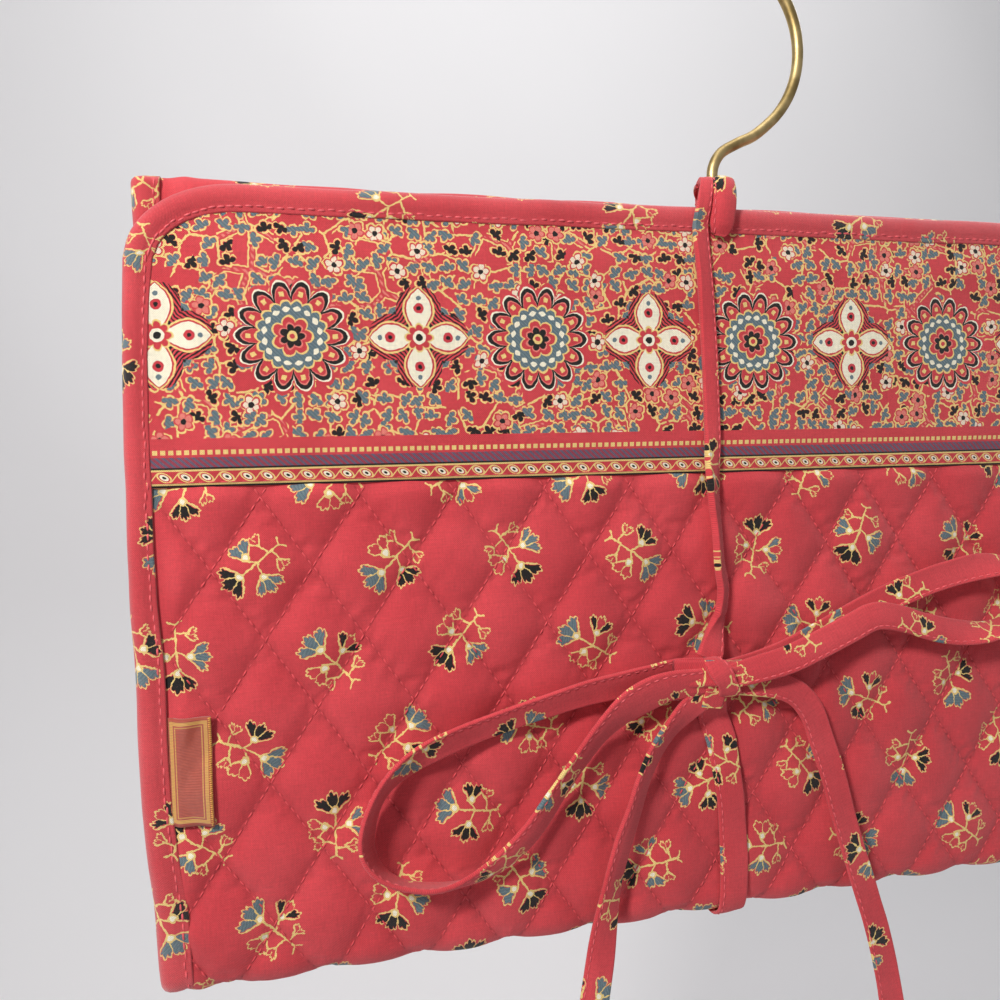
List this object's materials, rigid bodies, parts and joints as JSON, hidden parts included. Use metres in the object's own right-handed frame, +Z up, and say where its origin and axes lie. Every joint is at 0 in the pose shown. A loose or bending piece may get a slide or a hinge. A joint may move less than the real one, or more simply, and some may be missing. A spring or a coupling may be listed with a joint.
{
  "type": "hanging travel organizer",
  "caption": "Folded quilted cotton organizer with clear zipped pockets inside, a flap tied shut with a cotton bow, and a wire hook to hang it by.",
  "frame": {"origin": "inside top of the hook, where it rests on a rail; the hook, stem and crossbar lie in the plane y = 0", "axes": "+X to the right seen from the front, along the crossbar; +Y from the front flap to the back; +Z up"},
  "size_m": [0.293, 0.0348, 0.3127],
  "materials": {
    "quilted_print": "quilted printed cotton",
    "border_print": "printed cotton",
    "binding_print": "printed cotton",
    "tie_print": "printed cotton",
    "lining_cloth": "woven cotton",
    "wadding": "matt",
    "clear_vinyl": "clear",
    "zip_tape": "woven",
    "zip_coil": "satin",
    "zip_metal": "satin",
    "hanger_wire": "antique",
    "tip_vinyl": "satin",
    "woven_label": "woven"
  },
  "bodies": {
    "hanger": {"hanger_hook": "hanger_wire", "hanger_crossbar": "hanger_wire", "hanger_collar": "hanger_wire", "crossbar_tip_left": "tip_vinyl", "crossbar_tip_right": "tip_vinyl"},
    "back_panel": {"back_cover": "quilted_print", "back_wadding": "wadding", "back_lining": "lining_cloth", "back_binding_left": "binding_print", "back_binding_right": "binding_print", "back_pocket_strip": "binding_print", "tie_wrap": "tie_print", "back_upper_pocket_window": "clear_vinyl", "back_upper_pocket_zip_tape": "zip_tape", "back_upper_pocket_zip_coil": "zip_coil", "back_lower_pocket_window": "clear_vinyl", "back_lower_pocket_zip_tape": "zip_tape", "back_lower_pocket_zip_coil": "zip_coil"},
    "spine": {"spine_cover": "quilted_print", "spine_wadding": "wadding", "spine_lining": "lining_cloth", "spine_binding_left": "binding_print", "spine_binding_right": "binding_print", "tie_strap_under": "tie_print"},
    "front_flap": {"flap_cover": "quilted_print", "flap_border_band": "border_print", "flap_wadding": "wadding", "flap_lining": "lining_cloth", "flap_binding": "binding_print", "woven_label": "woven_label", "flap_pocket_strip": "binding_print", "tie_strap_upper": "tie_print", "tie_strap_lower": "tie_print", "bow_loop_right": "tie_print", "flap_upper_pocket_window": "clear_vinyl", "flap_upper_pocket_zip_tape": "zip_tape", "flap_upper_pocket_zip_coil": "zip_coil", "flap_lower_pocket_window": "clear_vinyl", "flap_lower_pocket_zip_tape": "zip_tape", "flap_lower_pocket_zip_coil": "zip_coil"},
    "tie_bow": {"tie_knot": "tie_print", "bow_loop_left": "tie_print", "tie_tail_left": "tie_print", "tie_tail_right": "tie_print"},
    "back_upper_zip_runner": {"back_upper_pocket_zip_slider": "zip_metal"},
    "back_upper_pull_tab": {"back_upper_pocket_zip_pull": "zip_metal"},
    "back_lower_zip_runner": {"back_lower_pocket_zip_slider": "zip_metal"},
    "back_lower_pull_tab": {"back_lower_pocket_zip_pull": "zip_metal"},
    "flap_upper_zip_runner": {"flap_upper_pocket_zip_slider": "zip_metal"},
    "flap_upper_pull_tab": {"flap_upper_pocket_zip_pull": "zip_metal"},
    "flap_lower_zip_runner": {"flap_lower_pocket_zip_slider": "zip_metal"},
    "flap_lower_pull_tab": {"flap_lower_pocket_zip_pull": "zip_metal"}
  },
  "joints": [
    {"name": "bag_swing", "type": "hinge", "parent": "hanger", "child": "back_panel", "pos_m": [0, 0, -0.07325], "axis": [1, 0, 0], "range_deg": [-8, 8]},
    {"name": "spine_fold", "type": "hinge", "parent": "back_panel", "child": "spine", "pos_m": [0, 0.0042, -0.25575], "axis": [1, 0, 0], "range_deg": [0, 90]},
    {"name": "flap_fold", "type": "hinge", "parent": "spine", "child": "front_flap", "pos_m": [0, -0.019, -0.25575], "axis": [1, 0, 0], "range_deg": [0, 90]},
    {"name": "bow_hang", "type": "hinge", "parent": "front_flap", "child": "tie_bow", "pos_m": [-0.0155, -0.0254, -0.19075], "axis": [1, 0, 0], "range_deg": [-180, 0]},
    {"name": "back_upper_zip_run", "type": "slide", "parent": "back_panel", "child": "back_upper_zip_runner", "axis": [1, 0, 0], "range_m": [-0.235, 0]},
    {"name": "back_upper_pull_swing", "type": "hinge", "parent": "back_upper_zip_runner", "child": "back_upper_pull_tab", "pos_m": [0.119, -0.0039, -0.09395], "axis": [0, 1, 0], "range_deg": [-45, 45]},
    {"name": "back_lower_zip_run", "type": "slide", "parent": "back_panel", "child": "back_lower_zip_runner", "axis": [1, 0, 0], "range_m": [-0.235, 0]},
    {"name": "back_lower_pull_swing", "type": "hinge", "parent": "back_lower_zip_runner", "child": "back_lower_pull_tab", "pos_m": [0.119, -0.0039, -0.17745], "axis": [0, 1, 0], "range_deg": [-45, 45]},
    {"name": "flap_upper_zip_run", "type": "slide", "parent": "front_flap", "child": "flap_upper_zip_runner", "axis": [1, 0, 0], "range_m": [-0.235, 0]},
    {"name": "flap_upper_pull_swing", "type": "hinge", "parent": "flap_upper_zip_runner", "child": "flap_upper_pull_tab", "pos_m": [0.119, -0.0109, -0.14655], "axis": [0, 1, 0], "range_deg": [-175, 175]},
    {"name": "flap_lower_zip_run", "type": "slide", "parent": "front_flap", "child": "flap_lower_zip_runner", "axis": [1, 0, 0], "range_m": [-0.235, 0]},
    {"name": "flap_lower_pull_swing", "type": "hinge", "parent": "flap_lower_zip_runner", "child": "flap_lower_pull_tab", "pos_m": [0.119, -0.0109, -0.22955], "axis": [0, 1, 0], "range_deg": [-175, 175]}
  ],
  "couplings": [
    {"joint": "flap_fold", "follows": "spine_fold", "ratio": 1},
    {"joint": "bow_hang", "follows": "spine_fold", "ratio": -2}
  ]
}
